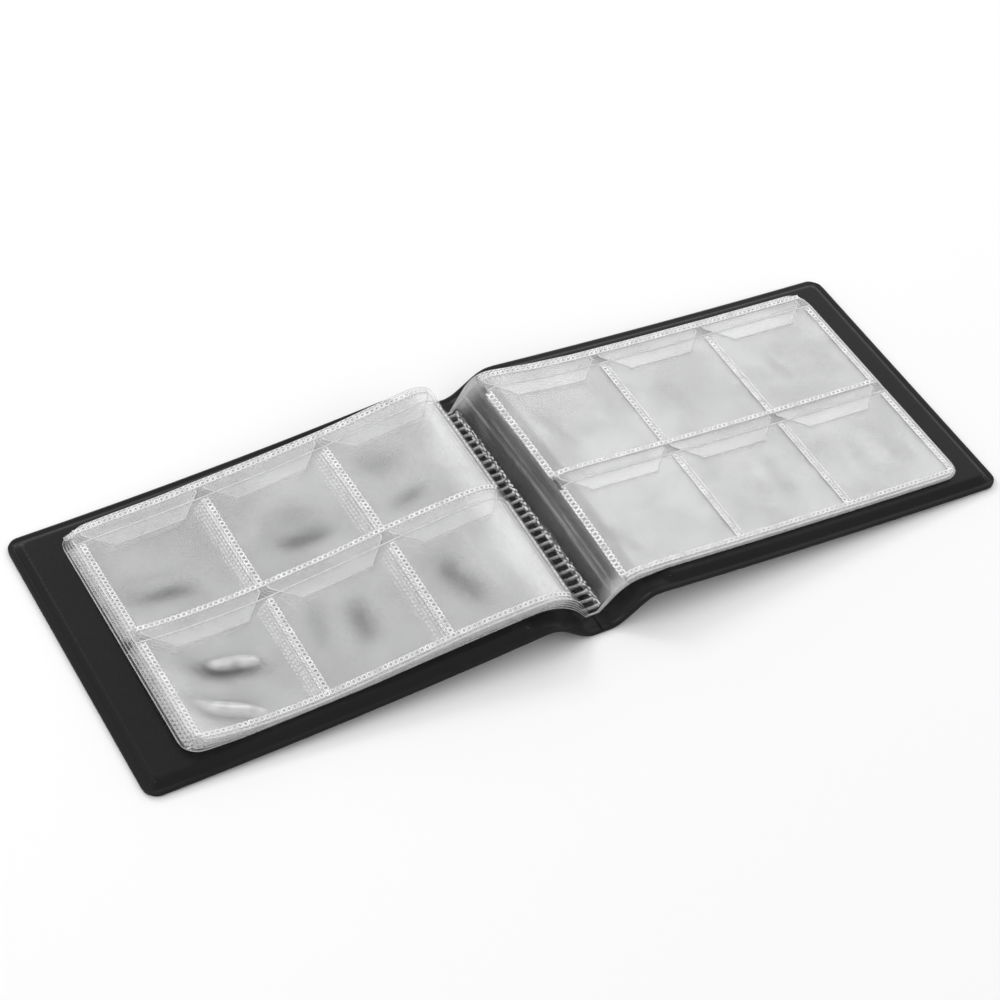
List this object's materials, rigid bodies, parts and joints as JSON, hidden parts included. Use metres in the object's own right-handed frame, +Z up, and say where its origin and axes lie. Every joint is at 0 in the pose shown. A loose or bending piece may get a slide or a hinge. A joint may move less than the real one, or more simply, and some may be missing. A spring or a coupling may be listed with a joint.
{
  "type": "pocket coin album",
  "caption": "Pocket-sized coin album lying open, with a black vinyl board cover and clear double-page sheets of flap-closed coin pockets welded to the spine.",
  "frame": {"origin": "on the table, under the middle of the spine", "axes": "+X across the open album towards the back cover, +Y along the spine towards the far edge, +Z up"},
  "size_m": [0.3016, 0.11, 0.015],
  "materials": {
    "outer_vinyl": "black vinyl with a fine leather-like grain, satin",
    "lining_vinyl": "smooth black vinyl, semi-gloss",
    "board": "grey board, hidden",
    "base_film": "clear soft film, glossy",
    "pocket_film": "clear soft film with embossed weld lines, glossy",
    "flap_film": "clear soft film, glossy",
    "weld": "embossed clear film, glossy"
  },
  "bodies": {
    "spine": {"spine_outer_skin": "outer_vinyl", "spine_lining": "lining_vinyl", "spine_weld": "weld", "gutter_film_1": "base_film", "gutter_film_2": "base_film", "gutter_film_3": "base_film", "gutter_film_4": "base_film", "gutter_film_5": "base_film"},
    "front_cover": {"front_outer_skin": "outer_vinyl", "front_board": "board", "front_lining": "lining_vinyl"},
    "back_cover": {"back_outer_skin": "outer_vinyl", "back_board": "board", "back_lining": "lining_vinyl"},
    "left_leaf_1": {"left_base_film_1": "base_film", "left_pocket_fronts_1": "pocket_film"},
    "left_leaf_2": {"left_base_film_2": "base_film", "left_pocket_fronts_2": "pocket_film"},
    "left_leaf_3": {"left_base_film_3": "base_film", "left_pocket_fronts_3": "pocket_film"},
    "left_leaf_4": {"left_base_film_4": "base_film", "left_pocket_fronts_4": "pocket_film"},
    "left_leaf_5": {"left_base_film_5": "base_film", "left_pocket_fronts_5": "pocket_film"},
    "left_upper_flaps_1": {"left_upper_flaps_1": "flap_film"},
    "left_upper_flaps_2": {"left_upper_flaps_2": "flap_film"},
    "left_upper_flaps_3": {"left_upper_flaps_3": "flap_film"},
    "left_upper_flaps_4": {"left_upper_flaps_4": "flap_film"},
    "left_upper_flaps_5": {"left_upper_flaps_5": "flap_film"},
    "left_lower_flaps_1": {"left_lower_flaps_1": "flap_film"},
    "left_lower_flaps_2": {"left_lower_flaps_2": "flap_film"},
    "left_lower_flaps_3": {"left_lower_flaps_3": "flap_film"},
    "left_lower_flaps_4": {"left_lower_flaps_4": "flap_film"},
    "left_lower_flaps_5": {"left_lower_flaps_5": "flap_film"},
    "right_leaf_1": {"right_base_film_1": "base_film", "right_pocket_fronts_1": "pocket_film"},
    "right_leaf_2": {"right_base_film_2": "base_film", "right_pocket_fronts_2": "pocket_film"},
    "right_leaf_3": {"right_base_film_3": "base_film", "right_pocket_fronts_3": "pocket_film"},
    "right_leaf_4": {"right_base_film_4": "base_film", "right_pocket_fronts_4": "pocket_film"},
    "right_leaf_5": {"right_base_film_5": "base_film", "right_pocket_fronts_5": "pocket_film"},
    "right_upper_flaps_1": {"right_upper_flaps_1": "flap_film"},
    "right_upper_flaps_2": {"right_upper_flaps_2": "flap_film"},
    "right_upper_flaps_3": {"right_upper_flaps_3": "flap_film"},
    "right_upper_flaps_4": {"right_upper_flaps_4": "flap_film"},
    "right_upper_flaps_5": {"right_upper_flaps_5": "flap_film"},
    "right_lower_flaps_1": {"right_lower_flaps_1": "flap_film"},
    "right_lower_flaps_2": {"right_lower_flaps_2": "flap_film"},
    "right_lower_flaps_3": {"right_lower_flaps_3": "flap_film"},
    "right_lower_flaps_4": {"right_lower_flaps_4": "flap_film"},
    "right_lower_flaps_5": {"right_lower_flaps_5": "flap_film"}
  },
  "joints": [
    {"name": "front_cover_hinge", "type": "hinge", "parent": "spine", "child": "front_cover", "pos_m": [-0.021, 0, 0.009], "axis": [0, -1, 0], "range_deg": [-96.5, 0], "deforming": ["gutter_film_1", "gutter_film_2", "gutter_film_3", "gutter_film_4", "gutter_film_5"]},
    {"name": "back_cover_hinge", "type": "hinge", "parent": "spine", "child": "back_cover", "pos_m": [0.021, 0, 0.009], "axis": [0, 1, 0], "range_deg": [-96.5, 0]},
    {"name": "left_leaves_lift", "type": "hinge", "parent": "spine", "child": "left_leaf_5", "pos_m": [-0.00835, 0, 0.01328], "axis": [0, -1, 0], "range_deg": [-96.5, 0]},
    {"name": "left_leaf_4_turn", "type": "hinge", "parent": "left_leaf_5", "child": "left_leaf_4", "pos_m": [-0.00911, 0, 0.01266], "axis": [0, 1, 0], "range_deg": [0, 183], "deforming": ["left_base_film_4", "left_pocket_fronts_4"]},
    {"name": "left_leaf_3_turn", "type": "hinge", "parent": "left_leaf_5", "child": "left_leaf_3", "pos_m": [-0.00836, 0, 0.01334], "axis": [0, 1, 0], "range_deg": [0, 183], "deforming": ["left_base_film_3", "left_pocket_fronts_3"]},
    {"name": "left_leaf_2_turn", "type": "hinge", "parent": "left_leaf_5", "child": "left_leaf_2", "pos_m": [-0.0076, 0, 0.01401], "axis": [0, 1, 0], "range_deg": [0, 183], "deforming": ["left_base_film_2", "left_pocket_fronts_2"]},
    {"name": "left_leaf_1_turn", "type": "hinge", "parent": "left_leaf_5", "child": "left_leaf_1", "pos_m": [-0.00684, 0, 0.01468], "axis": [0, 1, 0], "range_deg": [0, 183], "deforming": ["left_base_film_1", "left_pocket_fronts_1"]},
    {"name": "left_upper_flaps_1_open", "type": "hinge", "parent": "left_leaf_1", "child": "left_upper_flaps_1", "pos_m": [-0.06672, 0.04523, 0.01088], "axis": [-0.9979, 0, -0.0654], "range_deg": [0, 150], "deforming": ["left_upper_flaps_1"]},
    {"name": "left_upper_flaps_2_open", "type": "hinge", "parent": "left_leaf_2", "child": "left_upper_flaps_2", "pos_m": [-0.06748, 0.04523, 0.01021], "axis": [-0.9979, 0, -0.0654], "range_deg": [0, 150], "deforming": ["left_upper_flaps_2"]},
    {"name": "left_upper_flaps_3_open", "type": "hinge", "parent": "left_leaf_3", "child": "left_upper_flaps_3", "pos_m": [-0.06824, 0.04523, 0.00954], "axis": [-0.9979, 0, -0.0654], "range_deg": [0, 150], "deforming": ["left_upper_flaps_3"]},
    {"name": "left_upper_flaps_4_open", "type": "hinge", "parent": "left_leaf_4", "child": "left_upper_flaps_4", "pos_m": [-0.06899, 0.04523, 0.00887], "axis": [-0.9979, 0, -0.0654], "range_deg": [0, 150], "deforming": ["left_upper_flaps_4"]},
    {"name": "left_upper_flaps_5_open", "type": "hinge", "parent": "left_leaf_5", "child": "left_upper_flaps_5", "pos_m": [-0.06975, 0.04523, 0.0082], "axis": [-0.9979, 0, -0.0654], "range_deg": [0, 150], "deforming": ["left_upper_flaps_5"]},
    {"name": "left_lower_flaps_1_open", "type": "hinge", "parent": "left_leaf_1", "child": "left_lower_flaps_1", "pos_m": [-0.06672, -0.00092, 0.01088], "axis": [-0.9979, 0, -0.0654], "range_deg": [0, 150], "deforming": ["left_lower_flaps_1"]},
    {"name": "left_lower_flaps_2_open", "type": "hinge", "parent": "left_leaf_2", "child": "left_lower_flaps_2", "pos_m": [-0.06748, -0.00092, 0.01021], "axis": [-0.9979, 0, -0.0654], "range_deg": [0, 150], "deforming": ["left_lower_flaps_2"]},
    {"name": "left_lower_flaps_3_open", "type": "hinge", "parent": "left_leaf_3", "child": "left_lower_flaps_3", "pos_m": [-0.06824, -0.00092, 0.00954], "axis": [-0.9979, 0, -0.0654], "range_deg": [0, 150], "deforming": ["left_lower_flaps_3"]},
    {"name": "left_lower_flaps_4_open", "type": "hinge", "parent": "left_leaf_4", "child": "left_lower_flaps_4", "pos_m": [-0.06899, -0.00092, 0.00887], "axis": [-0.9979, 0, -0.0654], "range_deg": [0, 150], "deforming": ["left_lower_flaps_4"]},
    {"name": "left_lower_flaps_5_open", "type": "hinge", "parent": "left_leaf_5", "child": "left_lower_flaps_5", "pos_m": [-0.06975, -0.00092, 0.0082], "axis": [-0.9979, 0, -0.0654], "range_deg": [0, 150], "deforming": ["left_lower_flaps_5"]},
    {"name": "right_leaves_lift", "type": "hinge", "parent": "spine", "child": "right_leaf_5", "pos_m": [0.01332, 0, 0.01259], "axis": [0, 1, 0], "range_deg": [-96.5, 0]},
    {"name": "right_leaf_4_turn", "type": "hinge", "parent": "right_leaf_5", "child": "right_leaf_4", "pos_m": [0.01359, 0, 0.01219], "axis": [0, -1, 0], "range_deg": [0, 183], "deforming": ["right_base_film_4", "right_pocket_fronts_4"]},
    {"name": "right_leaf_3_turn", "type": "hinge", "parent": "right_leaf_5", "child": "right_leaf_3", "pos_m": [0.01332, 0, 0.01265], "axis": [0, -1, 0], "range_deg": [0, 183], "deforming": ["right_base_film_3", "right_pocket_fronts_3"]},
    {"name": "right_leaf_2_turn", "type": "hinge", "parent": "right_leaf_5", "child": "right_leaf_2", "pos_m": [0.01305, 0, 0.01311], "axis": [0, -1, 0], "range_deg": [0, 183], "deforming": ["right_base_film_2", "right_pocket_fronts_2"]},
    {"name": "right_leaf_1_turn", "type": "hinge", "parent": "right_leaf_5", "child": "right_leaf_1", "pos_m": [0.01278, 0, 0.01357], "axis": [0, -1, 0], "range_deg": [0, 183], "deforming": ["right_base_film_1", "right_pocket_fronts_1"]},
    {"name": "right_upper_flaps_1_open", "type": "hinge", "parent": "right_leaf_1", "child": "right_upper_flaps_1", "pos_m": [0.07266, 0.04523, 0.00977], "axis": [-0.9979, 0, 0.0654], "range_deg": [0, 150], "deforming": ["right_upper_flaps_1"]},
    {"name": "right_upper_flaps_2_open", "type": "hinge", "parent": "right_leaf_2", "child": "right_upper_flaps_2", "pos_m": [0.07293, 0.04523, 0.00932], "axis": [-0.9979, 0, 0.0654], "range_deg": [0, 150], "deforming": ["right_upper_flaps_2"]},
    {"name": "right_upper_flaps_3_open", "type": "hinge", "parent": "right_leaf_3", "child": "right_upper_flaps_3", "pos_m": [0.0732, 0.04523, 0.00886], "axis": [-0.9979, 0, 0.0654], "range_deg": [0, 150], "deforming": ["right_upper_flaps_3"]},
    {"name": "right_upper_flaps_4_open", "type": "hinge", "parent": "right_leaf_4", "child": "right_upper_flaps_4", "pos_m": [0.07347, 0.04523, 0.0084], "axis": [-0.9979, 0, 0.0654], "range_deg": [0, 150], "deforming": ["right_upper_flaps_4"]},
    {"name": "right_upper_flaps_5_open", "type": "hinge", "parent": "right_leaf_5", "child": "right_upper_flaps_5", "pos_m": [0.07374, 0.04523, 0.00794], "axis": [-0.9979, 0, 0.0654], "range_deg": [0, 150], "deforming": ["right_upper_flaps_5"]},
    {"name": "right_lower_flaps_1_open", "type": "hinge", "parent": "right_leaf_1", "child": "right_lower_flaps_1", "pos_m": [0.07266, -0.00092, 0.00977], "axis": [-0.9979, 0, 0.0654], "range_deg": [0, 150], "deforming": ["right_lower_flaps_1"]},
    {"name": "right_lower_flaps_2_open", "type": "hinge", "parent": "right_leaf_2", "child": "right_lower_flaps_2", "pos_m": [0.07293, -0.00092, 0.00932], "axis": [-0.9979, 0, 0.0654], "range_deg": [0, 150], "deforming": ["right_lower_flaps_2"]},
    {"name": "right_lower_flaps_3_open", "type": "hinge", "parent": "right_leaf_3", "child": "right_lower_flaps_3", "pos_m": [0.0732, -0.00092, 0.00886], "axis": [-0.9979, 0, 0.0654], "range_deg": [0, 150], "deforming": ["right_lower_flaps_3"]},
    {"name": "right_lower_flaps_4_open", "type": "hinge", "parent": "right_leaf_4", "child": "right_lower_flaps_4", "pos_m": [0.07347, -0.00092, 0.0084], "axis": [-0.9979, 0, 0.0654], "range_deg": [0, 150], "deforming": ["right_lower_flaps_4"]},
    {"name": "right_lower_flaps_5_open", "type": "hinge", "parent": "right_leaf_5", "child": "right_lower_flaps_5", "pos_m": [0.07374, -0.00092, 0.00794], "axis": [-0.9979, 0, 0.0654], "range_deg": [0, 150], "deforming": ["right_lower_flaps_5"]}
  ],
  "couplings": [
    {"joint": "left_leaves_lift", "follows": "front_cover_hinge", "ratio": 1},
    {"joint": "right_leaves_lift", "follows": "back_cover_hinge", "ratio": 1}
  ]
}
